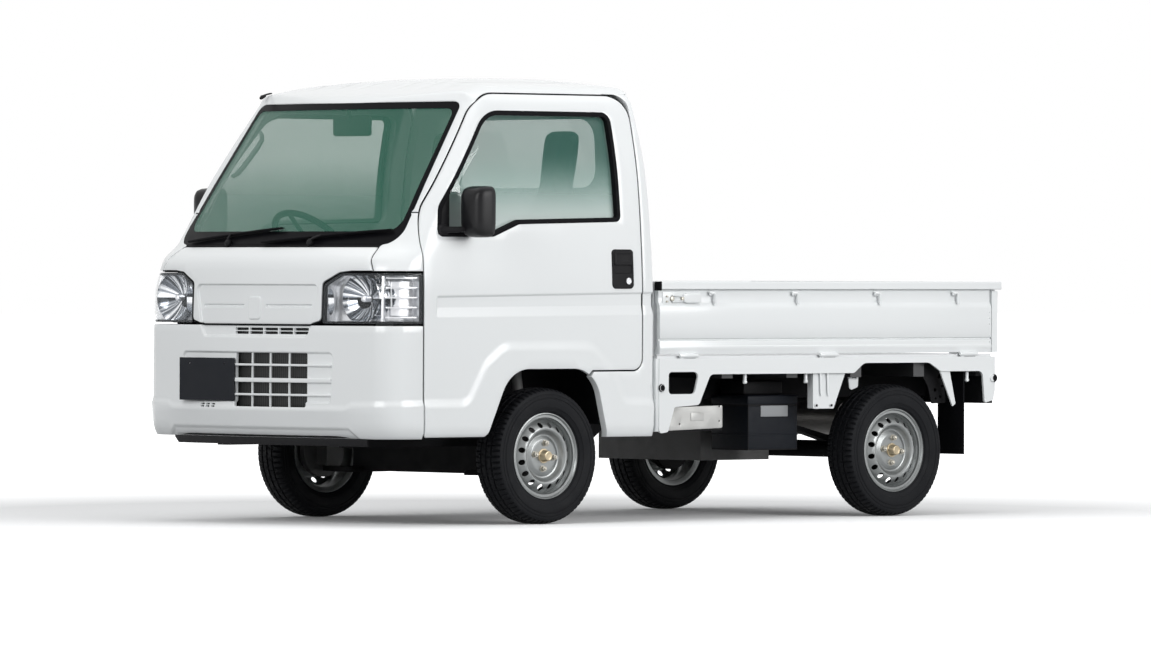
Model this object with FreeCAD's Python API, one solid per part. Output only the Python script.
"""Kei truck: a small cab-over truck with a drop-side load bed.

Millimetres. +X is forward, +Y is the truck's left, +Z is up. The origin is on the ground at the middle of the
length and width. Every size is a named value below, and every piece is made by a short function.
"""

import FreeCAD
import Part
import math
import os

os.makedirs("parts", exist_ok=True)

# ---- overall sizes -------------------------------------------------------------------------------
LENGTH = 3395.0
WIDTH = 1475.0
HEIGHT = 1745.0
WHEELBASE = 1900.0
TRACK = 1295.0
NOSE_OVERHANG = 907.5  # front axle to the bumper's foremost point
NOSE_X = 1697.5  # the cab is drawn from here back, and save() then sets the origin to mid-length
TAIL_X = NOSE_X - LENGTH
FRONT_AXLE_X = NOSE_X - NOSE_OVERHANG
REAR_AXLE_X = FRONT_AXLE_X - WHEELBASE
SIDE_Y = WIDTH / 2
SHUT_GAP = 6.0  # gap round doors, hood and gates
FIT_GAP = 0.3  # gap between two fixed pieces that only lie against each other

# ---- wheels --------------------------------------------------------------------------------------
TYRE_RADIUS = 265.0
TYRE_WIDTH = 145.0
BEAD_RADIUS = 153.0
RIM_FLANGE_RADIUS = 168.0
RIM_WIDTH = 114.0
RIM_WALL = 6.0
DISC_THICKNESS = 8.0
HUB_RADIUS = 30.0
LUG_CIRCLE = 100.0
LUG_COUNT = 4
LUG_STUD_RADIUS = 6.0
LUG_STUD_LENGTH = 22.0
KINGPIN_Y = TRACK / 2 - TYRE_WIDTH / 2 - 1.0
KINGPIN_LEAN = 8.4  # degrees, top inboard
STRUT_RADIUS = 24.0
SPINDLE_RADIUS = 17.0
PIN_GAP = 0.6
BRAKE_RADIUS = 105.0
ARM_BOTTOM = TYRE_RADIUS - 80
ARM_THICKNESS = 20.0
ARM_BASE_HALF = 110.0
BALL_RADIUS = 14.0
HUB_CAP_RADIUS = 19.0
HUB_CAP_PROUD = 18.0
VENT_COUNT = 16
VENT_CIRCLE_RADIUS = 119.0
VENT_RADIUS = 11.5
# Wheel disc's outer face: radius, distance outboard of the tyre's middle, corner radius.
DISC_FACE = [
    (147.0, 30.0, 0),
    (138.0, 45.0, 6),
    (128.0, 48.5, 10),
    (106.0, 48.5, 12),
    (84.0, 27.0, 12),
    (0.0, 27.0, 0),
]
# Tyre section: radius, half width, corner radius.
TYRE_SECTION = [
    (BEAD_RADIUS + FIT_GAP, 50.4, 0),
    (RIM_FLANGE_RADIUS + 0.5, 50.4, 0),
    (RIM_FLANGE_RADIUS + 4.0, 60.0, 4),
    (215.0, TYRE_WIDTH / 2 + 3, 60),
    (258.0, 62.0, 20),
    (TYRE_RADIUS, 44.0, 60),
]
WHEEL_Z = TYRE_RADIUS

# ---- cab skin ------------------------------------------------------------------------------------
CAB_BOTTOM = 334.0
DOOR_BOTTOM = 343.0
SIDE_WALL = 55.0  # thickness of doors, sills and pillars
DOOR_SKIN = 14.0  # the door's outer flange, before it steps in
DOOR_STEP = 22.0
NOSE_WALL = 28.0
BACK_WALL = 35.0
BACK_BOTTOM = 606.0  # the back wall is open below this, for the gearbox
TUNNEL_HALF = 414.0
ROOF_WALL = 35.0
GLASS = 5.0
GLASS_INSET = 20.0  # side glass behind the door skin
WINDSHIELD_INSET = 3.0
CAB_REAR_X = 228.0
CAB_REAR_CORNER = 35.0

# Plan outline of the cab at each height: height, x of the nose at the centre, half width, radius of the nose's
# bow, radius of the front corner, how far the back wall leans forward.
CAB_SECTIONS = [
    (CAB_BOTTOM, NOSE_X - 14, SIDE_Y - 10, 3700, 125, 0),
    (440, NOSE_X, SIDE_Y, 3700, 125, 0),
    (490, NOSE_X - 6, SIDE_Y - 6, 3700, 125, 0),
    (900, NOSE_X - 15, SIDE_Y - 5, 3700, 125, 0),
    (1015, NOSE_X - 30, SIDE_Y - 9, 3400, 170, 2),
    (1085, NOSE_X - 93, SIDE_Y - 13, 2400, 140, 4),
    (1340, NOSE_X - 277, SIDE_Y - 35, 2400, 72, 12),
    (1640, NOSE_X - 493, SIDE_Y - 99, 2400, 60, 28),
    (HEIGHT + 20, NOSE_X - 583, SIDE_Y - 130, 2400, 60, 34),
]
# Roof seen from the side: x, height, corner radius.
ROOF_FRONT_X = 1206.0
ROOF_CREST_X = 500.0
# How far the rounded crests stay below their corner points.
ROOF_SIDE_CROWN = 1.0
ROOF_FRONT_CROWN = 13.7
ROOF_SIDE_VIEW = [
    (0, 200, 0),
    (2000, 200, 0),
    (2000, 1560, 0),
    (ROOF_FRONT_X + 50, 1570, 0),
    (ROOF_FRONT_X - 15, HEIGHT - 85, 60),
    (926, HEIGHT - 18, 900),
    (ROOF_CREST_X, HEIGHT + ROOF_SIDE_CROWN, 1500),
    (305, HEIGHT - 6, 45),
    (CAB_REAR_X + 14, HEIGHT - 75, 60),
    (CAB_REAR_X - 10, 1500, 0),
    (0, 1500, 0),
]
# Roof seen from the front: half width, height, corner radius.
ROOF_FRONT_VIEW = [
    (SIDE_Y + 60, 200, 0),
    (SIDE_Y + 60, 1480, 0),
    (SIDE_Y - 97.5, HEIGHT - 92, 60),
    (SIDE_Y - 177.5, HEIGHT - 40, 70),
    (0, HEIGHT + ROOF_FRONT_CROWN, 3000),
]
ROOF_SEAM_Z = 1676.0
HEADER_SEAM_Z = 1640.0

# ---- openings in the cab: x (or y), height, corner radius ----------------------------------------
DOOR_FRONT_X = 1447.0
DOOR_REAR_X = 306.0
DOOR_TOP = 1668.0
DOOR_STEP_Z = 597.0  # where the door ends behind the wheel arch
DOOR_OUTLINE = [
    (DOOR_FRONT_X, DOOR_BOTTOM, 10),
    (DOOR_FRONT_X, 1163, 320),
    (1087, DOOR_TOP, 200),
    (DOOR_REAR_X, DOOR_TOP, 95),
    (DOOR_REAR_X, DOOR_STEP_Z, 45),
    (574, DOOR_STEP_Z, 12),
    (640, 520, 0),
    (700, DOOR_BOTTOM, 0),
]
ARCH_TOP = 603.0
ARCH = [
    (FRONT_AXLE_X - 310, 290, 0),
    (FRONT_AXLE_X - 230, ARCH_TOP, 140),
    (FRONT_AXLE_X + 212, ARCH_TOP, 150),
    (FRONT_AXLE_X + 332, 350, 60),
    (FRONT_AXLE_X + 432, 290, 0),
]
SIDE_WINDOW = [
    (1370, 1116, 30),
    (1352, 1228, 90),
    (1045, 1615, 120),
    (397, 1615, 50),
    (397, 1183, 30),
    (950, 1171, 60),
    (1090, 1117, 60),
]
WINDSHIELD = [(SIDE_Y - 92.5, 1083, 60), (SIDE_Y - 152.5, 1632, 40)]
REAR_WINDOW = [(430, 1312, 80), (430, 1582, 80)]
LAMP_TOP = 975.0
LAMP_BOTTOM = 777.0
LAMP_INNER_Y = 386.0
BUMPER_TOP = 768.0
HOOD_OUTLINE = [
    (312, BUMPER_TOP + SHUT_GAP, 15),
    (LAMP_INNER_Y - SHUT_GAP, 790, 20),
    (LAMP_INNER_Y - SHUT_GAP, 935, 20),
    (462, LAMP_TOP, 40),
    (520, LAMP_TOP + SHUT_GAP, 20),
    (SIDE_Y - 115.5, LAMP_TOP + SHUT_GAP, 0),
    (SIDE_Y - 163.5, 1074, 20),
]
HOOD_WALL = 14.0
HOOD_STOP_Y = 250.0
HOOD_STOP_Z = 900.0
HOOD_STOP_HALF = 20.0
LAMP_OUTLINE = [
    (LAMP_INNER_Y, LAMP_BOTTOM, 8),
    (LAMP_INNER_Y, 930, 20),
    (468, LAMP_TOP - 6, 40),
    (SIDE_Y + 40, LAMP_TOP, 0),
    (SIDE_Y + 40, LAMP_BOTTOM, 0),
]
LAMP_LENS = 5.0
LAMP_DEPTH = 70.0
FENDER_TOP = 1206.0
CORNER_X = DOOR_FRONT_X + SHUT_GAP  # bumper, lamp and fender end here
DOOR_HINGES = (470.0, 860.0)
DOOR_LEAF_HEIGHT = 45.0
DOOR_LEAF_INNER_Y = SIDE_Y - 97.5
POST_WIDTH = 50.0
POST_INNER_Y = SIDE_Y - 167.5
COWL_INNER = 46.0
COWL_HALF = SIDE_Y - 182.5
HANDLE_OUTLINE = [(360, 913, 8), (467, 913, 8), (467, 1069, 8), (360, 1069, 8)]
HANDLE_PROUD = 5.0
MIRROR_X = 1236.0
MIRROR_INNER_Y = SIDE_Y - 9.5
MIRROR_WIDTH = 130.0
MIRROR_DEPTH = 90.0
MIRROR_BOTTOM = 1110.0
MIRROR_TOP = 1310.0
MIRROR_ARM_Z = 1141.0
MIRROR_ARM_RADIUS = 11.0
MIRROR_FOOT = ((1340.0, 1388.0), (1120.0, 1162.0))  # x and z range of the plate the arm stands on

# front plate and the radiator behind the grille
PLATE_WIDTH = 330.0
PLATE_HEIGHT = 166.0
PLATE_THICKNESS = 2.0
PLATE_CENTRE = (-265.0, 560.0)
PLATE_X = 1692.0
PLATE_BOLT_SPACING = 210.0
PLATE_BOLT_RADIUS = 3.0
PLATE_BOLT_DROP = 22.0  # bolts below the plate's top edge
RADIATOR_DEPTH = 60.0

# grille opening in the bumper
GRILLE_INNER_Y = -88.0
GRILLE_OUTER_Y = 320.0
GRILLE_BOTTOM = 456.0
GRILLE_TOP = 664.0
GRILLE_BAR = 10.0

# ---- floor and seats -----------------------------------------------------------------------------
SHEET = 12.0
FLOOR_Z = 385.0
RISER_X = 1118.0
PLATFORM_Z = 640.0
BULKHEAD_X = 1545.0
BULKHEAD_HALF = SIDE_Y - 177.5
BULKHEAD_TOP = 985.0
HOUSE_INNER_Y = 402.0
HOUSE_REAR_X = FRONT_AXLE_X - 322
SEAT_Y = 330.0
SEAT_WIDTH = 470.0
SEAT_FRONT_X = 1010.0
SEAT_HEIGHT = 120.0
BACKREST_TOP = 1572.0
BACKREST_TOP_WIDTH = 230.0
BACKREST_THICKNESS = 95.0
BACKREST_LEAN = 150.0
SEAT_REAR_X = 560.0
DASH_TOP = 1062.0
DASH_FRONT_X = 1500.0
DASH_MIDDLE_HALF = 400.0
DASH_PROFILE = [
    (1300, 880, 30),
    (1278, 960, 40),
    (1300, 1046, 40),
    (1400, DASH_TOP, 200),
    (BULKHEAD_X - FIT_GAP, DASH_TOP, 0),
    (BULKHEAD_X - FIT_GAP, 840, 0),
]
STEERING_CENTRE = (1085.0, -SEAT_Y, 1080.0)
STEERING_RADIUS = 182.0
STEERING_RIM = 13.0
STEERING_TILT = 45.0

# ---- frame ---------------------------------------------------------------------------------------
RAIL_INNER_Y = 330.0
RAIL_WIDTH = 60.0
RAIL_DEPTH = 85.0
RAIL_TOP_FRONT = FLOOR_Z
RAIL_TOP_REAR = 560.0
KICK_FRONT_X = 300.0
KICK_REAR_X = 60.0
RAIL_FRONT_X = 1530.0
RAIL_REAR_X = TAIL_X + 57.5
CROSS_WIDTH = 60.0
CROSSMEMBERS_LOW = (1470.0, 1130.0)
CROSSMEMBERS_HIGH = (-140.0, REAR_AXLE_X + 200, RAIL_REAR_X + 30)

# ---- bed -----------------------------------------------------------------------------------------
BED_FRONT_X = 210.0
BED_FLOOR_Z = 650.0
BED_REAR_X = TAIL_X + 47.5
DECK_SHEET = 10.0
SKIRT_OUTER_Y = SIDE_Y - 2.5
RIB_WIDTH = 60.0
RIB_COUNT = 6
SKIRT_SHEET = 9.0
SKIRT_TOP = 640.0
SKIRT_FLANGE = 26.0
SKIRT_FLANGE_THICKNESS = 10.0
DECK_HALF = SKIRT_OUTER_Y - 20
HEADBOARD_THICKNESS = 22.0
RAIL_TOP_Z = 943.0
GATE_RAIL_HEIGHT = 32.0
GATE_RAIL_BOTTOM = RAIL_TOP_Z - GATE_RAIL_HEIGHT
GATE_BOTTOM = 657.0
GATE_OUTER_Y = SKIRT_OUTER_Y - 13
GATE_RAIL_OUTER_Y = GATE_OUTER_Y + 9
GATE_THICKNESS = 24.0
GATE_SHEET = 3.0
GATE_AXIS = (GATE_RAIL_OUTER_Y, 650.0)
TAILGATE_THICKNESS = 32.0
TAILGATE_RAIL_HALF = GATE_OUTER_Y - GATE_THICKNESS - SHUT_GAP
TAILGATE_AXIS = (TAIL_X + 9, 650.0)
TAILGATE_OUTER_X = TAIL_X + 15.5
TAILGATE_HALF = GATE_OUTER_Y
TAILGATE_TOP = GATE_RAIL_BOTTOM - SHUT_GAP
GATE_FRONT_X = 205.0
GATE_REAR_X = BED_REAR_X + 6
GATE_RAIL_FRONT_X = 210.0
HEADBOARD_HALF = TAILGATE_RAIL_HALF - 2
HINGE_PLACES = (52.0, -717.0, BED_REAR_X + 140)
HINGE_WIDTH = 90.0
HINGE_RADIUS = 5.0
HINGE_KNUCKLE = 9.0
HINGE_LUG = 12.0
TAILGATE_HINGES = (-520.0, 0.0, 520.0)
STOP_PLACES = ((203.0, 525.0), (BED_REAR_X + 10, 552.0))
STOP_RADIUS = 14.0
STOP_PROUD = 6.0
STEP_OUTLINE = [(238, 309, 6), (492, 309, 6), (492, 337, 6), (238, 337, 6)]

# ---- running gear --------------------------------------------------------------------------------
AXLE_RADIUS = 34.0
SPRING_HALF = 430.0
SPRING_WIDTH = 50.0
SPRING_THICKNESS = 26.0
SPRING_EYE_Z = 405.0
SPRING_EYE_RADIUS = 20.0
DRUM_RADIUS = 100.0
DRUM_WIDTH = 38.0
ENGINE = ((REAR_AXLE_X + 310, REAR_AXLE_X + 690), (-300.0, 300.0), (225.0, 545.0))
GEARBOX = ((REAR_AXLE_X + 110, REAR_AXLE_X + 310), (-180.0, 60.0), (225.0, 420.0))
ENGINE_MOUNT_HALF = RAIL_INNER_Y - FIT_GAP
MUFFLER_RADIUS = 72.0
MUFFLER = ((-290.0, 150.0), REAR_AXLE_X - 290, 385.0)
EXHAUST_RADIUS = 19.0
TANK = ((-215.0, 75.0), (335.0, 640.0), (353.0, 445.0))
TANK_HANGER = ((-200.0, 0.0), (340.0, 385.0), (445.0, RAIL_TOP_REAR - RAIL_DEPTH - FIT_GAP))
BATTERY = ((-668.0, -396.0), (RAIL_INNER_Y + RAIL_WIDTH + FIT_GAP, 600.0), (271.0, 487.0))
GUARD_Y = (SKIRT_OUTER_Y - 45, SKIRT_OUTER_Y - 13)
GUARD_OUTLINE = [(-638, 632, 0), (-638, 436, 6), (-752, 436, 6), (-814, 571, 0), (-814, 632, 0)]
FLAP_X = REAR_AXLE_X - 377
FLAP_THICKNESS = 6.0
FLAP_INNER_Y = 575.0
FLAP_OUTER_Y = SKIRT_OUTER_Y - 13
FLAP_BOTTOM = 244.0
LAMP_REAR_INNER_Y = 520.0
LAMP_REAR_OUTER_Y = SKIRT_OUTER_Y - 20
LAMP_REAR_BOTTOM = 466.0
LAMP_REAR_HEIGHT = 88.0
LAMP_REAR_DEPTH = 36.0
REAR_PLATE_CENTRE = (0.0, 500.0)
REAR_PLATE_PAD = 12.0
REAR_BEAM_BOTTOM = 450.0
SKIRT_OUTLINE = [
    (BED_FRONT_X + 6, SKIRT_TOP, 0),
    (BED_FRONT_X + 6, 345, 15),
    (168, 352, 10),
    (133, 449, 10),
    (0, 457, 20),
    (-62, 577, 30),
    (REAR_AXLE_X + 255, 577, 30),
    (REAR_AXLE_X + 200, 617, 60),
    (REAR_AXLE_X - 170, 617, 60),
    (REAR_AXLE_X - 235, 581, 15),
    (BED_REAR_X + 65, 581, 25),
    (BED_REAR_X + 53, 451, 8),
    (BED_REAR_X + 4, 463, 8),
    (BED_REAR_X - 6, 503, 10),
    (BED_REAR_X - 6, SKIRT_TOP, 0),
]
SKIRT_SLOT = [(165, 587, 15), (0, 587, 20), (25, 500, 20), (165, 500, 15)]


def vec(x, y, z):
    return FreeCAD.Vector(x, y, z)


# Each plane maps a flat point (a, b) and a position along the third axis to space.
PLANES = {
    "xz": (lambda a, b, c: vec(a, c, b), vec(0, 1, 0)),
    "yz": (lambda a, b, c: vec(c, a, b), vec(1, 0, 0)),
    "xy": (lambda a, b, c: vec(a, b, c), vec(0, 0, 1)),
}


def outline(points, plane, at):
    """Closed wire through (a, b, radius) points, each corner rounded by a tangent arc."""
    place = PLANES[plane][0]
    count = len(points)
    ends = []
    for i, (a, b, radius) in enumerate(points):
        here = vec(a, b, 0)
        before = vec(*points[i - 1][:2], 0) - here
        after = vec(*points[(i + 1) % count][:2], 0) - here
        half_angle = before.getAngle(after) / 2
        if radius <= 0 or half_angle > math.pi / 2 - 1e-4:
            ends.append((here, None, here))
            continue
        reach = radius / math.tan(half_angle)
        before.normalize()
        after.normalize()
        middle = before + after
        middle.normalize()
        depth = radius / math.sin(half_angle) - radius
        ends.append((here + before * reach, here + middle * depth, here + after * reach))
    edges = []
    for i, (start, bend, end) in enumerate(ends):
        if bend is not None:
            arc = [place(p.x, p.y, at) for p in (start, bend, end)]
            edges.append(Part.Arc(*arc).toShape())
        following = ends[(i + 1) % count][0]
        if (following - end).Length > 1e-6:
            edges.append(Part.makeLine(place(end.x, end.y, at), place(following.x, following.y, at)))
    return Part.Wire(edges)


def prism(points, plane, low, high):
    """Solid of a rounded outline between two positions along its plane's normal."""
    face = Part.Face(outline(points, plane, low))
    return face.extrude(PLANES[plane][1] * (high - low))


def offset(points, distance):
    """The same outline moved outward by distance, or inward if it is negative."""
    area = sum(p[0] * q[1] - q[0] * p[1] for p, q in zip(points, points[1:] + points[:1]))
    side = 1 if area > 0 else -1
    moved = []
    for i, (a, b, radius) in enumerate(points):
        corner = vec(a, b, 0)
        arriving = corner - vec(*points[i - 1][:2], 0)
        leaving = vec(*points[(i + 1) % len(points)][:2], 0) - corner
        arriving.normalize()
        leaving.normalize()
        out_a = vec(arriving.y, -arriving.x, 0) * side
        out_b = vec(leaving.y, -leaving.x, 0) * side
        mitre = (out_a + out_b) * (distance / (1 + out_a.dot(out_b)))
        turn = arriving.cross(leaving).z * side
        grown = radius + distance if turn > 0 else radius - distance
        moved.append((a + mitre.x, b + mitre.y, max(grown, 0) if radius > 0 else 0))
    return moved


def both_halves(points):
    """A closed outline from points on the positive side, mirrored to the negative side."""
    mirrored = [(-a, b, radius) for a, b, radius in reversed(points) if a > 0]
    return points + mirrored


def box(x, y, z):
    """Box from (low, high) pairs."""
    size = [max(pair) - min(pair) for pair in (x, y, z)]
    return Part.makeBox(*size, vec(min(x), min(y), min(z)))


def cylinder(start, end, radius):
    start, end = vec(*start), vec(*end)
    return Part.makeCylinder(radius, (end - start).Length, start, end - start)


def fused(first, *others):
    return first.fuse(list(others)).removeSplitter() if others else first


def mirrored(shape):
    """The same piece on the truck's other side."""
    return shape.mirror(vec(0, 0, 0), vec(0, 1, 0))


def pair(shape):
    """A piece and its mirror image, as solids that share a node."""
    return Part.makeCompound(shape.Solids + mirrored(shape).Solids)


def save(name, shape):
    """Writes a node with the origin at the middle of the truck's length."""
    solids = Part.makeCompound(shape.Solids)
    solids.translate(vec(-(NOSE_X + TAIL_X) / 2, 0, 0))
    solids.exportStep(f"parts/{name}.step")


# ---- cab -----------------------------------------------------------------------------------------
def plan_wire(section, side_in, nose_in, back_in):
    """The cab's outline at one height: bowed nose, round front corners, straight sides and back."""
    height, nose, half, bow, corner, lean = section
    nose -= nose_in
    half -= side_in
    corner = max(corner - side_in, 20)
    rear = CAB_REAR_X + lean + back_in
    rear_corner = max(CAB_REAR_CORNER - side_in, 10)
    bow_x = nose - bow
    corner_y = half - corner
    corner_x = bow_x + math.sqrt((bow - corner) ** 2 - corner_y**2)
    angle = math.atan2(corner_y, corner_x - bow_x)
    mid_angle = (angle + math.pi / 2) / 2
    touch = (bow_x + bow * math.cos(angle), bow * math.sin(angle))
    bend = (corner_x + corner * math.cos(mid_angle), corner_y + corner * math.sin(mid_angle))
    diagonal = rear_corner * (1 - math.sqrt(0.5))

    def at(x, y):
        return vec(x, y, height)

    edges = [Part.Arc(at(touch[0], -touch[1]), at(nose, 0), at(*touch)).toShape()]
    edges.append(Part.Arc(at(*touch), at(*bend), at(corner_x, half)).toShape())
    edges.append(Part.makeLine(at(corner_x, half), at(rear + rear_corner, half)))
    edges.append(
        Part.Arc(
            at(rear + rear_corner, half), at(rear + diagonal, half - diagonal), at(rear, half - rear_corner)
        ).toShape()
    )
    edges.append(Part.makeLine(at(rear, half - rear_corner), at(rear, rear_corner - half)))
    edges.append(
        Part.Arc(
            at(rear, rear_corner - half), at(rear + diagonal, diagonal - half), at(rear + rear_corner, -half)
        ).toShape()
    )
    edges.append(Part.makeLine(at(rear + rear_corner, -half), at(corner_x, -half)))
    edges.append(
        Part.Arc(at(corner_x, -half), at(bend[0], -bend[1]), at(touch[0], -touch[1])).toShape()
    )
    return Part.Wire(edges)


def cab_form(side_in=0.0, nose_in=0.0, back_in=0.0, roof_in=0.0):
    """The cab as one solid, moved inward by the given walls."""
    wires = [plan_wire(s, side_in, nose_in, back_in) for s in CAB_SECTIONS]
    form = Part.makeLoft(wires, True, True)
    side_view = prism(ROOF_SIDE_VIEW, "xz", -900, 900)
    front_view = prism(both_halves(ROOF_FRONT_VIEW), "yz", 0, 2000)
    limit = side_view.common(front_view)
    limit.translate(vec(0, 0, -roof_in))
    return form.common(limit)


def window_prism(points, low_x, high_x, grow=0.0):
    return prism(offset(both_halves(points), grow), "yz", low_x, high_x)


def cab_panels():
    """Every piece that is cut from the cab's skin."""
    skin = cab_form()
    hollow = cab_form(SIDE_WALL, NOSE_WALL + 20, BACK_WALL, ROOF_WALL)
    shell = skin.cut(hollow)
    roof_zone = prism(
        [
            (0, ROOF_SEAM_Z, 0),
            (1125, ROOF_SEAM_Z, 0),
            (1165, HEADER_SEAM_Z, 0),
            (1400, HEADER_SEAM_Z, 0),
            (1400, 1900, 0),
            (0, 1900, 0),
        ],
        "xz",
        -900,
        900,
    )
    windshield_hole = window_prism(WINDSHIELD, 1000, 1900)
    rear_hole = window_prism(REAR_WINDOW, 100, 400)
    back_zone = window_prism(
        [(SIDE_Y - 75.5, BACK_BOTTOM, 0), (SIDE_Y - 75.5, 1000, 0), (SIDE_Y - 162.5, ROOF_SEAM_Z, 0)],
        100,
        CAB_REAR_X + 63,
    )

    roof = shell.common(roof_zone).cut(windshield_hole)
    back = shell.common(back_zone).cut(roof_zone).cut(rear_hole)
    left_half = box((0, 2000), (0.5, 900), (300, 1800))
    door_zone = prism(DOOR_OUTLINE, "xz", 300, 900)
    door_hole = prism(offset(DOOR_OUTLINE, SHUT_GAP), "xz", 300, 900)
    arch = prism(ARCH, "xz", 300, 900)
    nose_zone = box((CORNER_X, 2000), (-900, 900), (300, FENDER_TOP))
    side = shell.common(left_half).cut(roof_zone).cut(back_zone).cut(nose_zone)
    side = side.cut(door_hole).cut(arch).cut(windshield_hole)
    side = side.cut(box((100, CAB_REAR_X + 63), (-10, TUNNEL_HALF), (300, BACK_BOTTOM)))
    sides = [s for s in side.Solids if s.Volume > 1e5]
    post_zone = box((CORNER_X, CORNER_X + POST_WIDTH), (POST_INNER_Y, 900), (FLOOR_Z + SHEET, FENDER_TOP))
    post = post_zone.common(cab_form(LAMP_DEPTH + FIT_GAP, LAMP_DEPTH + FIT_GAP, 0, 0))
    upper_post = post_zone.common(cab_form(NOSE_WALL + FIT_GAP, NOSE_WALL + FIT_GAP, 0, 0))
    upper_post = upper_post.common(box((0, 2000), (0, 900), (LAMP_TOP + 12, FENDER_TOP)))
    step = prism(STEP_OUTLINE, "xz", SIDE_Y - SIDE_WALL, SIDE_Y - 12)
    fender_zone = box((CORNER_X, 2000), (0, 900), (LAMP_TOP + FIT_GAP, FENDER_TOP))
    nose_shell = skin.cut(cab_form(NOSE_WALL, NOSE_WALL, 0, 0))
    nose_shell = nose_shell.common(box((CORNER_X, 2000), (-900, 900), (0, FENDER_TOP)))
    fender = nose_shell.common(fender_zone)
    fender = fender.cut(window_prism(HOOD_OUTLINE, 1200, 2000, SHUT_GAP)).cut(windshield_hole)
    fender = fender.cut(box((0, 2000), (-900, 560), (300, 1300)))
    side_frame = fused(sides[0], *sides[1:], post, upper_post, fender, step)

    inner_zone = prism(offset(DOOR_OUTLINE, -DOOR_STEP), "xz", 300, 900)
    outer_skin = skin.cut(cab_form(DOOR_SKIN, NOSE_WALL, 0, 0)).common(door_zone)
    inner_part = shell.common(inner_zone)
    window = prism(SIDE_WINDOW, "xz", 300, 900)
    door = outer_skin.fuse(inner_part.common(left_half)).common(left_half)
    door = door.cut(arch).cut(window).removeSplitter()
    glass_shell = cab_form(GLASS_INSET, NOSE_WALL, 8, 8).cut(
        cab_form(GLASS_INSET + GLASS, NOSE_WALL + 20, 16, 16),
    )
    glass_zone = prism(offset(SIDE_WINDOW, -FIT_GAP), "xz", 500, 900)
    door_glass = glass_shell.common(glass_zone)
    for low in DOOR_HINGES:
        leaf = box(
            (DOOR_FRONT_X - 30, CORNER_X - FIT_GAP),
            (DOOR_LEAF_INNER_Y, SIDE_Y - SIDE_WALL + 15),
            (low, low + DOOR_LEAF_HEIGHT),
        )
        door = door.fuse(leaf).removeSplitter()

    bumper = nose_shell.common(box((0, 2000), (-900, 900), (0, BUMPER_TOP)))
    grille = box((1400, 2000), (GRILLE_INNER_Y, GRILLE_OUTER_Y), (GRILLE_BOTTOM, GRILLE_TOP))
    bumper = bumper.cut(grille.cut(grille_bars()))
    hood_zone = window_prism(HOOD_OUTLINE, 1200, 2000)
    hood = skin.cut(cab_form(HOOD_WALL, HOOD_WALL, 0, 0)).common(hood_zone)
    lamp_zone = prism(LAMP_OUTLINE, "yz", CORNER_X, 2000)
    lens = skin.cut(cab_form(LAMP_LENS, LAMP_LENS, 0, 0)).common(lamp_zone)
    bucket_form = cab_form(LAMP_LENS + FIT_GAP, LAMP_LENS + FIT_GAP, 0, 0)
    bucket_hollow = bucket_form.common(prism(offset(LAMP_OUTLINE, -6), "yz", CORNER_X + 6, 2000))
    bucket = bucket_form.cut(cab_form(LAMP_DEPTH, LAMP_DEPTH, 0, 0)).common(lamp_zone)
    bucket = bucket.cut(bucket_hollow.cut(cab_form(LAMP_DEPTH - 8, LAMP_DEPTH - 8, 0, 0)))

    glass_front = cab_form(0, WINDSHIELD_INSET, 0, 0).cut(cab_form(0, WINDSHIELD_INSET + GLASS + 1, 0, 0))
    windshield = glass_front.common(window_prism(WINDSHIELD, 1000, 1900, -FIT_GAP))
    glass_back = cab_form(0, 0, 12, 0).cut(cab_form(0, 0, 12 + GLASS, 0))
    rear_glass = glass_back.common(window_prism(REAR_WINDOW, 100, 400, -FIT_GAP))
    return {
        "roof_panel": roof,
        "back_panel": back,
        "side_frames": pair(side_frame),
        "left_door": door,
        "right_door": mirrored(door),
        "left_door_glass": door_glass,
        "right_door_glass": mirrored(door_glass),
        "front_bumper": bumper,
        "hood": hood,
        "headlamp_lenses": pair(lens.common(left_half)),
        "headlamp_buckets": pair(bucket.common(left_half)),
        "windshield": windshield,
        "rear_window": rear_glass,
    }


def grille_bars():
    """Bars across the grille opening, set back from the bumper's face."""
    rows = [GRILLE_BOTTOM + (GRILLE_TOP - GRILLE_BOTTOM) * k / 4 for k in (1, 2, 3)]
    columns = [GRILLE_INNER_Y + (GRILLE_OUTER_Y - GRILLE_INNER_Y) * k / 4 for k in (1, 2, 3)]
    bars = [
        box((1400, 2000), (GRILLE_INNER_Y, GRILLE_OUTER_Y), (z - GRILLE_BAR / 2, z + GRILLE_BAR / 2))
        for z in rows
    ]
    bars += [
        box((1400, 2000), (y - GRILLE_BAR / 2, y + GRILLE_BAR / 2), (GRILLE_BOTTOM, GRILLE_TOP))
        for y in columns
    ]
    return fused(bars[0], *bars[1:])



FORMS = {}


def interior(grow=0.0):
    """Space inside the cab's walls, less a fitting gap."""
    if grow not in FORMS:
        wall = FIT_GAP + grow
        FORMS[grow] = cab_form(SIDE_WALL + wall, NOSE_WALL + 20 + wall, BACK_WALL + wall, ROOF_WALL + wall)
    return FORMS[grow]


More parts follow.
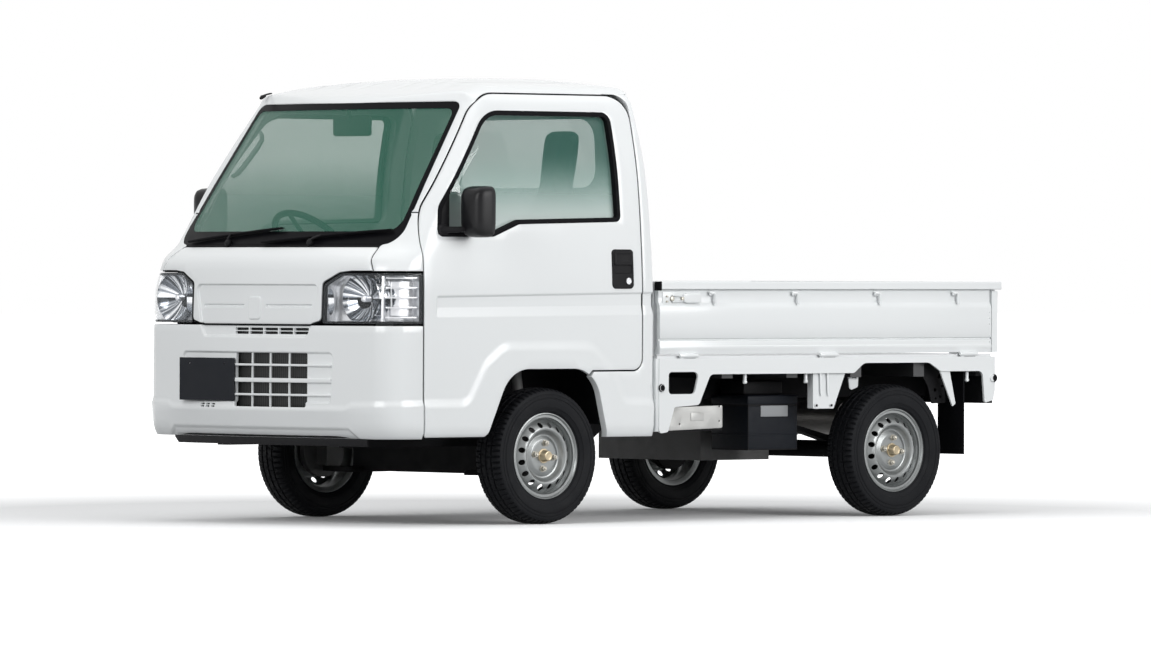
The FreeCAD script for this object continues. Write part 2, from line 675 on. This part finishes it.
def cab_interior():
    """Floor, bulkhead, dashboard, cowl and seats."""
    floor = box((RISER_X - SHEET, BULKHEAD_X), (-900, 900), (FLOOR_Z, FLOOR_Z + SHEET))
    riser = box((RISER_X - SHEET, RISER_X), (-900, 900), (FLOOR_Z, PLATFORM_Z))
    platform = box((0, RISER_X), (-900, 900), (PLATFORM_Z - SHEET, PLATFORM_Z))
    walls = []
    for side in (-1, 1):
        inner = sorted((side * HOUSE_INNER_Y, side * (HOUSE_INNER_Y + SHEET)))
        rear = sorted((side * HOUSE_INNER_Y, side * 900))
        walls.append(box((HOUSE_REAR_X - SHEET, RISER_X), inner, (FLOOR_Z, PLATFORM_Z)))
        walls.append(box((HOUSE_REAR_X - SHEET, HOUSE_REAR_X), rear, (FLOOR_Z, PLATFORM_Z)))
    floor = fused(floor, riser, platform, *walls).common(interior())
    bulkhead = box((BULKHEAD_X, BULKHEAD_X + SHEET), (-BULKHEAD_HALF, BULKHEAD_HALF), (FLOOR_Z, BULKHEAD_TOP))
    back = BULKHEAD_X + SHEET
    bracket = box((back, 1700), (400, 560), (820, 880)).common(cab_form(0, LAMP_DEPTH + FIT_GAP, 0, 0))
    stop = box(
        (back, 1700),
        (HOOD_STOP_Y - HOOD_STOP_HALF, HOOD_STOP_Y + HOOD_STOP_HALF),
        (HOOD_STOP_Z - HOOD_STOP_HALF, HOOD_STOP_Z + HOOD_STOP_HALF),
    ).common(cab_form(0, HOOD_WALL + FIT_GAP, 0, 0))
    floor = fused(floor, bulkhead.common(interior()), bracket, mirrored(bracket), stop, mirrored(stop))
    dash_half = DOOR_LEAF_INNER_Y - SHUT_GAP
    dash = prism(DASH_PROFILE, "xz", -dash_half, dash_half).common(interior())
    for side in (-1, 1):
        dash = dash.cut(
            box((CORNER_X - FIT_GAP, 2000), (side * (POST_INNER_Y - FIT_GAP), side * 900), (700, 1200)),
        )
        dash = dash.cut(box((DASH_FRONT_X, 2000), (side * DASH_MIDDLE_HALF, side * 900), (700, 1200)))
    steering_wheel, column = steering()
    dash = fused(dash, column)

    cowl_band = box((1300, 2000), (-COWL_HALF, COWL_HALF), (1084, 1125))
    cowl = cab_form(0, WINDSHIELD_INSET + GLASS + 1 + FIT_GAP, 0, 0).cut(cab_form(0, COWL_INNER + 12, 0, 0))
    cowl = cowl.common(cowl_band)
    tray = cab_form(0, COWL_INNER, 0, 0).cut(cab_form(0, COWL_INNER + 12, 0, 0))
    tray = tray.common(box((1300, 2000), (-COWL_HALF, COWL_HALF), (DASH_TOP + FIT_GAP, 1086)))
    cowl = fused(cowl, tray)

    seats = {}
    for name, y in (("driver_seat", -SEAT_Y), ("passenger_seat", SEAT_Y)):
        half = SEAT_WIDTH / 2
        cushion = prism(
            [
                (SEAT_REAR_X - 90, PLATFORM_Z + FIT_GAP, 10),
                (SEAT_FRONT_X, PLATFORM_Z + FIT_GAP, 30),
                (SEAT_FRONT_X, PLATFORM_Z + SEAT_HEIGHT, 45),
                (SEAT_REAR_X - 60, PLATFORM_Z + SEAT_HEIGHT - 30, 10),
            ],
            "xz",
            y - half,
            y + half,
        )
        side_view = prism(
            [
                (SEAT_REAR_X, PLATFORM_Z + 60, 20),
                (SEAT_REAR_X - BACKREST_LEAN + 15, BACKREST_TOP, 40),
                (SEAT_REAR_X - BACKREST_LEAN - BACKREST_THICKNESS + 15, BACKREST_TOP, 30),
                (SEAT_REAR_X - BACKREST_THICKNESS, PLATFORM_Z + 60, 20),
            ],
            "xz",
            y - half,
            y + half,
        )
        front_view = prism(
            [
                (y - half, PLATFORM_Z + 20, 0),
                (y + half, PLATFORM_Z + 20, 0),
                (y + half, 1280, 60),
                (y + BACKREST_TOP_WIDTH / 2, 1400, 80),
                (y + BACKREST_TOP_WIDTH / 2, BACKREST_TOP, 50),
                (y - BACKREST_TOP_WIDTH / 2, BACKREST_TOP, 50),
                (y - BACKREST_TOP_WIDTH / 2, 1400, 80),
                (y - half, 1280, 60),
            ],
            "yz",
            200,
            1200,
        )
        seats[name] = fused(cushion, side_view.common(front_view))
    return {"cab_floor": floor, "dashboard": dash, "steering_wheel": steering_wheel, "cowl": cowl, **seats}


def steering():
    """Steering wheel, and the column that carries it."""
    centre = vec(*STEERING_CENTRE)
    tilt = math.radians(STEERING_TILT)
    axis = vec(math.cos(tilt), 0, -math.sin(tilt))
    across = vec(math.sin(tilt), 0, math.cos(tilt))
    rim = Part.makeTorus(STEERING_RADIUS, STEERING_RIM, centre, axis)
    hub = Part.makeCylinder(52, 34, centre + axis * 6, axis)
    spokes = []
    for angle in (0, 125, 235):
        turned = FreeCAD.Rotation(axis, angle).multVec(across)
        spokes.append(Part.makeCylinder(9, STEERING_RADIUS, centre + axis * 14, turned - axis * 0.06))
    wheel = fused(rim, hub, *spokes)
    start = centre + axis * (40 + FIT_GAP)
    column = Part.makeCylinder(32, 250, start, axis)
    low = start + axis * 240
    foot = vec(low.x + 40, low.y, FLOOR_Z + SHEET + FIT_GAP)
    shaft = Part.makeCylinder(13, (foot - low).Length, low, foot - low)
    shaft = shaft.common(box((0, 2000), (-900, 900), (FLOOR_Z + SHEET + FIT_GAP, 2000)))
    column = fused(column, shaft)
    return wheel, column


def door_fittings():
    """Outside handle and mirror of the left door."""
    shell = cab_form(-HANDLE_PROUD).cut(cab_form(-FIT_GAP))
    plate = prism(HANDLE_OUTLINE, "xz", 600, 900)
    handle = shell.common(plate)
    centre_y = MIRROR_INNER_Y + MIRROR_WIDTH / 2
    housing = prism(
        [
            (MIRROR_INNER_Y, MIRROR_BOTTOM, 35),
            (MIRROR_INNER_Y + MIRROR_WIDTH, MIRROR_BOTTOM, 35),
            (MIRROR_INNER_Y + MIRROR_WIDTH, MIRROR_TOP, 35),
            (MIRROR_INNER_Y, MIRROR_TOP, 35),
        ],
        "yz",
        MIRROR_X - MIRROR_DEPTH / 2,
        MIRROR_X + MIRROR_DEPTH / 2,
    )
    foot_x, foot_z = MIRROR_FOOT
    foot = box(foot_x, (SIDE_Y - 40, SIDE_Y - 4), foot_z)
    arm_start = (sum(foot_x) / 2, SIDE_Y - 14, MIRROR_ARM_Z)
    arm = cylinder(arm_start, (MIRROR_X, centre_y, MIRROR_ARM_Z), MIRROR_ARM_RADIUS)
    arm = arm.fuse(foot).cut(cab_form(-FIT_GAP))
    mirror = fused(housing, arm)
    fittings = Part.makeCompound([handle, mirror])
    return {"left_mirror_and_handle": fittings, "right_mirror_and_handle": mirrored(fittings)}


def number_plate(face_x, centre, outward, pad_depth):
    """Blank plate with its backing pad, facing along X."""
    y, z = centre
    inner = face_x - outward * PLATE_THICKNESS
    plate = box(
        (inner, face_x),
        (y - PLATE_WIDTH / 2, y + PLATE_WIDTH / 2),
        (z - PLATE_HEIGHT / 2, z + PLATE_HEIGHT / 2),
    )
    pad = box((inner - outward * pad_depth, inner), (y - 135, y + 135), (z - 40, z + 40))
    plate = fused(plate, pad)
    for side in (-1, 1):
        bolt_y = y + side * PLATE_BOLT_SPACING / 2
        bolt_z = z + PLATE_HEIGHT / 2 - PLATE_BOLT_DROP
        plate = plate.cut(
            cylinder((face_x - 30, bolt_y, bolt_z), (face_x + 30, bolt_y, bolt_z), PLATE_BOLT_RADIUS),
        )
    return plate


def nose_fittings():
    """Radiator and the two blank number plates."""
    back = BULKHEAD_X + SHEET + FIT_GAP
    radiator = box(
        (back, back + RADIATOR_DEPTH),
        (GRILLE_INNER_Y - 20, GRILLE_OUTER_Y + 20),
        (GRILLE_BOTTOM - 20, GRILLE_TOP + 20),
    )
    front = number_plate(PLATE_X, PLATE_CENTRE, 1, 80).cut(cab_form(-FIT_GAP, -FIT_GAP))
    rear_face = RAIL_REAR_X - 10 - FIT_GAP - REAR_PLATE_PAD - PLATE_THICKNESS
    rear = number_plate(rear_face, REAR_PLATE_CENTRE, -1, REAR_PLATE_PAD)
    return {"radiator": radiator, "number_plates": Part.makeCompound([front, rear])}


def front_suspension():
    """Cross beam with the lower arms that carry the knuckles."""
    arm_top = ARM_BOTTOM + ARM_THICKNESS
    ball_y = KINGPIN_Y + (WHEEL_Z - arm_top) * math.tan(math.radians(KINGPIN_LEAN))
    arm = prism(
        [
            (FRONT_AXLE_X - ARM_BASE_HALF, RAIL_INNER_Y, 20),
            (FRONT_AXLE_X + ARM_BASE_HALF, RAIL_INNER_Y, 20),
            (FRONT_AXLE_X + BALL_RADIUS + 2, ball_y + BALL_RADIUS, 12),
            (FRONT_AXLE_X - BALL_RADIUS - 2, ball_y + BALL_RADIUS, 12),
        ],
        "xy",
        ARM_BOTTOM,
        arm_top,
    )
    beam = box(
        (FRONT_AXLE_X - 35, FRONT_AXLE_X + 35),
        (-RAIL_INNER_Y - RAIL_WIDTH, RAIL_INNER_Y + RAIL_WIDTH),
        (ARM_BOTTOM + 5, RAIL_TOP_FRONT - RAIL_DEPTH),
    )
    return beam, arm, mirrored(arm)


def chassis():
    """Frame with its cross members, raised under the bed."""
    side_view = [
        (RAIL_FRONT_X, RAIL_TOP_FRONT, 0),
        (KICK_FRONT_X, RAIL_TOP_FRONT, 60),
        (KICK_REAR_X, RAIL_TOP_REAR, 60),
        (RAIL_REAR_X, RAIL_TOP_REAR, 0),
        (RAIL_REAR_X, RAIL_TOP_REAR - RAIL_DEPTH, 0),
        (KICK_REAR_X - 20, RAIL_TOP_REAR - RAIL_DEPTH, 60),
        (KICK_FRONT_X - 20, RAIL_TOP_FRONT - RAIL_DEPTH, 60),
        (RAIL_FRONT_X, RAIL_TOP_FRONT - RAIL_DEPTH, 0),
    ]
    rail = prism(side_view, "xz", RAIL_INNER_Y, RAIL_INNER_Y + RAIL_WIDTH)
    members = [rail, mirrored(rail)]
    reach = RAIL_INNER_Y + 5
    for x in CROSSMEMBERS_LOW:
        z = (RAIL_TOP_FRONT - RAIL_DEPTH + 10, RAIL_TOP_FRONT - 25)
        members.append(box((x - CROSS_WIDTH / 2, x + CROSS_WIDTH / 2), (-reach, reach), z))
    for x in CROSSMEMBERS_HIGH:
        z = (RAIL_TOP_REAR - RAIL_DEPTH + 10, RAIL_TOP_REAR - 10)
        members.append(box((x - CROSS_WIDTH / 2, x + CROSS_WIDTH / 2), (-reach, reach), z))
    end = SKIRT_OUTER_Y - SKIRT_SHEET
    members.append(box((RAIL_REAR_X - 10, RAIL_REAR_X + 40), (-end, end), (REAR_BEAM_BOTTOM, RAIL_TOP_REAR)))
    bumper_beam = box((RAIL_FRONT_X + 60, 1700), (-560, 560), (FLOOR_Z - 45, FLOOR_Z))
    members.append(bumper_beam.common(cab_form(0, NOSE_WALL + FIT_GAP, 0, 0)))
    for side in (-1, 1):
        span = (side * RAIL_INNER_Y, side * (RAIL_INNER_Y + RAIL_WIDTH))
        members.append(box((RAIL_FRONT_X, RAIL_FRONT_X + 60), span, (FLOOR_Z - 45, FLOOR_Z)))
    return {"chassis_frame": fused(*members, *front_suspension())}


def bed():
    """Floor on its ribs, skirts, front wall and the three drop gates."""
    inside = SKIRT_OUTER_Y - SKIRT_SHEET
    front_wall = box(
        (BED_FRONT_X - HEADBOARD_THICKNESS, BED_FRONT_X),
        (-HEADBOARD_HALF, HEADBOARD_HALF),
        (BED_FLOOR_Z, RAIL_TOP_Z),
    )
    deck = box((BED_REAR_X, BED_FRONT_X), (-DECK_HALF, DECK_HALF), (BED_FLOOR_Z - DECK_SHEET, BED_FLOOR_Z))
    rib_half = inside - SKIRT_FLANGE - FIT_GAP
    ribs = []
    span = BED_FRONT_X - BED_REAR_X - RIB_WIDTH - 20
    for i in range(RIB_COUNT):
        x = BED_REAR_X + 10 + span * i / (RIB_COUNT - 1)
        ribs.append(box((x, x + RIB_WIDTH), (-rib_half, rib_half), (RAIL_TOP_REAR, BED_FLOOR_Z - DECK_SHEET)))
    floor = fused(deck, *ribs, front_wall)

    skirt = prism(SKIRT_OUTLINE, "xz", inside, SKIRT_OUTER_Y).cut(prism(SKIRT_SLOT, "xz", 600, 900))
    for x, z in STOP_PLACES:
        skirt = skirt.fuse(cylinder((x, inside, z), (x, SKIRT_OUTER_Y + STOP_PROUD, z), STOP_RADIUS))
    flange = box(
        (BED_REAR_X, BED_FRONT_X),
        (inside - SKIRT_FLANGE, inside),
        (SKIRT_TOP - SKIRT_FLANGE_THICKNESS, SKIRT_TOP),
    )
    skirt = skirt.fuse(flange).fuse(prism(GUARD_OUTLINE, "xz", *GUARD_Y))
    axis_y, axis_z = GATE_AXIS
    knuckles = []
    for x in HINGE_PLACES:
        start, end = x - HINGE_WIDTH / 2, x + HINGE_WIDTH / 2
        skirt = skirt.fuse(cylinder((start, axis_y, axis_z), (end, axis_y, axis_z), HINGE_RADIUS))
        for low in (start, end - HINGE_LUG):
            lug = box(
                (low, low + HINGE_LUG), (inside, SKIRT_OUTER_Y), (SKIRT_TOP - 10, axis_z + HINGE_RADIUS),
            )
            skirt = skirt.fuse(lug)
        span = (start + HINGE_LUG + 1, end - HINGE_LUG - 1)
        knuckle = cylinder((span[0], axis_y, axis_z), (span[1], axis_y, axis_z), HINGE_KNUCKLE)
        leaf = box(span, (axis_y - 14.5, axis_y), (axis_z + 1, GATE_BOTTOM + 2))
        knuckles.append(
            (knuckle.fuse(leaf), cylinder((start, axis_y, axis_z), (end, axis_y, axis_z), HINGE_RADIUS + PIN_GAP)),
        )
    skirt = skirt.removeSplitter()
    tail_x, tail_z = TAILGATE_AXIS
    tail_knuckles = []
    for y in TAILGATE_HINGES:
        start, end = y - HINGE_WIDTH / 2, y + HINGE_WIDTH / 2
        floor = floor.fuse(cylinder((tail_x, start, tail_z), (tail_x, end, tail_z), HINGE_RADIUS))
        for low in (start, end - HINGE_LUG):
            lug = box(
                (tail_x - HINGE_RADIUS, BED_REAR_X + 10),
                (low, low + HINGE_LUG),
                (SKIRT_TOP - 10, tail_z + HINGE_RADIUS),
            )
            floor = floor.fuse(lug)
        span = (start + HINGE_LUG + 1, end - HINGE_LUG - 1)
        knuckle = cylinder((tail_x, span[0], tail_z), (tail_x, span[1], tail_z), HINGE_KNUCKLE)
        leaf = box((tail_x, tail_x + 19), span, (tail_z + 1, GATE_BOTTOM + 2))
        tail_knuckles.append(
            (knuckle.fuse(leaf), cylinder((tail_x, start, tail_z), (tail_x, end, tail_z), HINGE_RADIUS + PIN_GAP)),
        )
    floor = floor.cut(
        box((BED_REAR_X, BED_REAR_X + 30), (-DECK_HALF, DECK_HALF), (BED_FLOOR_Z, BED_FLOOR_Z + 20)),
    )
    floor = floor.removeSplitter()

    inner_y = GATE_OUTER_Y - GATE_THICKNESS
    panel = box((GATE_REAR_X, GATE_FRONT_X), (inner_y, GATE_OUTER_Y), (GATE_BOTTOM, GATE_RAIL_BOTTOM))
    recess = box(
        (GATE_REAR_X + 60, GATE_FRONT_X - 60),
        (inner_y, inner_y + GATE_THICKNESS - GATE_SHEET),
        (GATE_BOTTOM + 40, GATE_RAIL_BOTTOM - 30),
    )
    rail = box((TAIL_X, GATE_RAIL_FRONT_X), (inner_y, GATE_RAIL_OUTER_Y), (GATE_RAIL_BOTTOM, RAIL_TOP_Z))
    side_gate = fused(panel.cut(recess), rail, *[k for k, bore in knuckles]).cut(
        [bore
        for k, bore in knuckles]
    )
    tail_inner = TAILGATE_OUTER_X + TAILGATE_THICKNESS
    tail_panel = box(
        (TAILGATE_OUTER_X, tail_inner), (-TAILGATE_HALF, TAILGATE_HALF), (GATE_BOTTOM, TAILGATE_TOP),
    )
    tail_recess = box(
        (TAILGATE_OUTER_X + GATE_SHEET, tail_inner),
        (-TAILGATE_HALF + 60, TAILGATE_HALF - 60),
        (GATE_BOTTOM + 40, TAILGATE_TOP - 30),
    )
    tail_rail = box(
        (TAIL_X, tail_inner), (-TAILGATE_RAIL_HALF, TAILGATE_RAIL_HALF), (TAILGATE_TOP, RAIL_TOP_Z),
    )
    tail_gate = fused(tail_panel.cut(tail_recess), tail_rail, *[k for k, bore in tail_knuckles])
    tail_gate = tail_gate.cut([bore for k, bore in tail_knuckles])

    return {
        "bed_floor": floor,
        "bed_skirts": pair(skirt),
        "left_gate": side_gate,
        "right_gate": mirrored(side_gate),
        "tail_gate": tail_gate,
    }


def revolved(points, centre, direction=1):
    """Solid turned about an axis along Y from (radius, offset, corner radius) points."""
    wire = outline(points, "xy", 0)
    solid = Part.Face(wire).revolve(vec(0, 0, 0), vec(0, 1, 0), 360)
    if direction < 0:
        solid = solid.mirror(vec(0, 0, 0), vec(0, 1, 0))
    solid.translate(vec(*centre))
    return solid


def wheel_solids():
    """Left wheel with its tyre, about the origin: outboard is +Y."""
    section = TYRE_SECTION + [(r, -w, c) for r, w, c in reversed(TYRE_SECTION)]
    tyre = revolved(section, (0, 0, 0))
    barrel_inner = BEAD_RADIUS - RIM_WALL
    half = RIM_WIDTH / 2
    rim = revolved(
        [
            (barrel_inner, -half, 0),
            (RIM_FLANGE_RADIUS, -half, 2),
            (RIM_FLANGE_RADIUS, -half + RIM_WALL, 2),
            (BEAD_RADIUS, -half + RIM_WALL, 0),
            (BEAD_RADIUS, half - RIM_WALL, 0),
            (RIM_FLANGE_RADIUS, half - RIM_WALL, 2),
            (RIM_FLANGE_RADIUS, half, 2),
            (barrel_inner, half, 0),
        ],
        (0, 0, 0),
    )
    inner_face = [(r, y - DISC_THICKNESS, c) for r, y, c in reversed(DISC_FACE)]
    disc = revolved(DISC_FACE + inner_face, (0, 0, 0))
    hub_face = DISC_FACE[-1][1]
    hub = cylinder((0, -10, 0), (0, hub_face, 0), HUB_RADIUS)
    cap = cylinder((0, hub_face, 0), (0, half + HUB_CAP_PROUD, 0), HUB_CAP_RADIUS)
    wheel = fused(rim, disc, hub, cap)
    wheel = wheel.cut(cylinder((0, -20, 0), (0, hub_face, 0), SPINDLE_RADIUS + PIN_GAP))
    holes = []
    for i in range(VENT_COUNT):
        angle = math.radians(360 / VENT_COUNT * (i + 0.5))
        x, z = VENT_CIRCLE_RADIUS * math.cos(angle), VENT_CIRCLE_RADIUS * math.sin(angle)
        holes.append(cylinder((x, 20, z), (x, 70, z), VENT_RADIUS))
    wheel = wheel.cut(holes)
    studs = []
    for i in range(LUG_COUNT):
        angle = math.radians(360 / LUG_COUNT * i)
        x, z = LUG_CIRCLE / 2 * math.cos(angle), LUG_CIRCLE / 2 * math.sin(angle)
        studs.append(cylinder((x, hub_face - 4, z), (x, hub_face + LUG_STUD_LENGTH, z), LUG_STUD_RADIUS))
    wheel = fused(wheel, *studs)
    return tyre, wheel


def wheels():
    tyre, wheel = wheel_solids()
    pieces = {}
    for end, x in (("front", FRONT_AXLE_X), ("rear", REAR_AXLE_X)):
        for side, sign in (("left", 1), ("right", -1)):
            for kind, shape in (("tyre", tyre), ("wheel", wheel)):
                placed = shape.copy()
                placed.translate(vec(x, TRACK / 2, WHEEL_Z))
                pieces[f"{end}_{side}_{kind}"] = placed if sign > 0 else mirrored(placed)
    return pieces


def running_gear():
    """Knuckles with struts, lower arms, rear axle, springs, engine, shaft, exhaust, tank and small boxes."""
    lean = math.radians(KINGPIN_LEAN)
    up = vec(0, -math.sin(lean), math.cos(lean))
    pivot = vec(FRONT_AXLE_X, KINGPIN_Y, WHEEL_Z)
    hub_end = TRACK / 2 + DISC_FACE[-1][1] - 1
    backing_y = TRACK / 2 - RIM_WIDTH / 2 + 16
    spindle = cylinder(
        (FRONT_AXLE_X, KINGPIN_Y - 20, WHEEL_Z), (FRONT_AXLE_X, hub_end, WHEEL_Z), SPINDLE_RADIUS,
    )
    backing = cylinder(
        (FRONT_AXLE_X, backing_y, WHEEL_Z), (FRONT_AXLE_X, backing_y + 26, WHEEL_Z), BRAKE_RADIUS,
    )
    arm_top = ARM_BOTTOM + ARM_THICKNESS
    carrier = box(
        (FRONT_AXLE_X - 38, FRONT_AXLE_X + 38),
        (KINGPIN_Y - 30, backing_y + 5),
        (arm_top + FIT_GAP + 5, WHEEL_Z + 75),
    )
    pin_low = arm_top + FIT_GAP + (BALL_RADIUS - 5) * math.sin(lean)
    pin_base = pivot + up * ((pin_low - WHEEL_Z) / math.cos(lean))
    pin = Part.makeCylinder(BALL_RADIUS - 5, 20, pin_base, up)
    ceiling = PLATFORM_Z - SHEET
    reach = (ceiling - FIT_GAP - STRUT_RADIUS * math.sin(lean) - WHEEL_Z) / math.cos(lean)
    strut = Part.makeCylinder(STRUT_RADIUS, reach - 20, pivot + up * 20, up)
    knuckle = fused(carrier, spindle, backing, pin, strut)

    drum_y = TRACK / 2 - RIM_WIDTH / 2 + 4
    axle_end = hub_end
    rear_x = REAR_AXLE_X
    axle = cylinder((rear_x, -drum_y, WHEEL_Z), (rear_x, drum_y, WHEEL_Z), AXLE_RADIUS)
    shafts = cylinder((rear_x, -axle_end, WHEEL_Z), (rear_x, axle_end, WHEEL_Z), SPINDLE_RADIUS)
    drums = []
    for side in (-1, 1):
        drums.append(
            cylinder(
                (rear_x, side * drum_y, WHEEL_Z),
                (rear_x, side * (drum_y + DRUM_WIDTH), WHEEL_Z),
                DRUM_RADIUS,
            )
        )
    axle = fused(axle, shafts, *drums)

    spring_y = RAIL_INNER_Y + (RAIL_WIDTH - SPRING_WIDTH) / 2
    low = WHEEL_Z + AXLE_RADIUS - 2
    eye_low = SPRING_EYE_Z - 8
    spring = prism(
        [
            (rear_x - SPRING_HALF, eye_low, 0),
            (rear_x - 60, low, 0),
            (rear_x + 60, low, 0),
            (rear_x + SPRING_HALF, eye_low, 0),
            (rear_x + SPRING_HALF, eye_low + 12, 0),
            (rear_x + 60, low + SPRING_THICKNESS, 0),
            (rear_x - 60, low + SPRING_THICKNESS, 0),
            (rear_x - SPRING_HALF, eye_low + 12, 0),
        ],
        "xz",
        spring_y,
        spring_y + SPRING_WIDTH,
    )
    parts = [spring]
    for end in (-1, 1):
        x = rear_x + end * SPRING_HALF
        parts.append(
            cylinder((x, spring_y, SPRING_EYE_Z), (x, spring_y + SPRING_WIDTH, SPRING_EYE_Z), SPRING_EYE_RADIUS),
        )
        parts.append(
            box(
                (x - 18, x + 18),
                (spring_y - 1, spring_y + SPRING_WIDTH + 1),
                (SPRING_EYE_Z, RAIL_TOP_REAR - RAIL_DEPTH),
            )
        )
    springs = fused(parts[0], *parts[1:])

    mount_x = (ENGINE[0][0] + ENGINE[0][1]) / 2
    mount_z = (RAIL_TOP_REAR - RAIL_DEPTH, ENGINE[2][1])
    mounts = box((mount_x - 30, mount_x + 30), (-ENGINE_MOUNT_HALF, ENGINE_MOUNT_HALF), mount_z)
    power = fused(box(*ENGINE), box(*GEARBOX), mounts)
    (muffler_right, muffler_left), muffler_x, muffler_z = MUFFLER
    muffler = cylinder(
        (muffler_x, muffler_right, muffler_z), (muffler_x, muffler_left, muffler_z), MUFFLER_RADIUS,
    )
    pipe_x, pipe_y, pipe_z = ENGINE[0][0] - FIT_GAP, ENGINE[1][0] + 50, muffler_z + 40
    pipe = cylinder((muffler_x, pipe_y, pipe_z), (pipe_x, pipe_y, pipe_z), EXHAUST_RADIUS)
    tail = cylinder(
        (muffler_x, muffler_right + 30, muffler_z),
        (TAIL_X + 20, muffler_right + 30, muffler_z),
        EXHAUST_RADIUS,
    )
    hanger = box(
        (muffler_x - 20, muffler_x + 20),
        (-RAIL_INNER_Y - 20, -RAIL_INNER_Y + 60),
        (muffler_z + 20, RAIL_TOP_REAR - RAIL_DEPTH - FIT_GAP),
    )
    exhaust = fused(muffler, pipe, tail, hanger)
    flap = box(
        (FLAP_X - FLAP_THICKNESS, FLAP_X),
        (FLAP_INNER_Y, FLAP_OUTER_Y),
        (FLAP_BOTTOM, SKIRT_TOP - SKIRT_FLANGE_THICKNESS - FIT_GAP),
    )
    lamp = box(
        (RAIL_REAR_X - 10 - FIT_GAP - LAMP_REAR_DEPTH, RAIL_REAR_X - 10 - FIT_GAP),
        (LAMP_REAR_INNER_Y, LAMP_REAR_OUTER_Y),
        (LAMP_REAR_BOTTOM, LAMP_REAR_BOTTOM + LAMP_REAR_HEIGHT),
    )
    return {
        "left_knuckle": knuckle,
        "right_knuckle": mirrored(knuckle),
        "rear_axle": fused(axle, springs, mirrored(springs)),
        "engine_block": power,
        "exhaust": exhaust,
        "fuel_tank": fused(box(*TANK), box(*TANK_HANGER)),
        "battery_box": box(*BATTERY),
        "mud_flaps": pair(flap),
        "tail_lamps": pair(lamp),
    }


for group in (cab_panels, cab_interior, door_fittings, nose_fittings, chassis, bed, wheels, running_gear):
    for node, shape in group().items():
        save(node, shape)
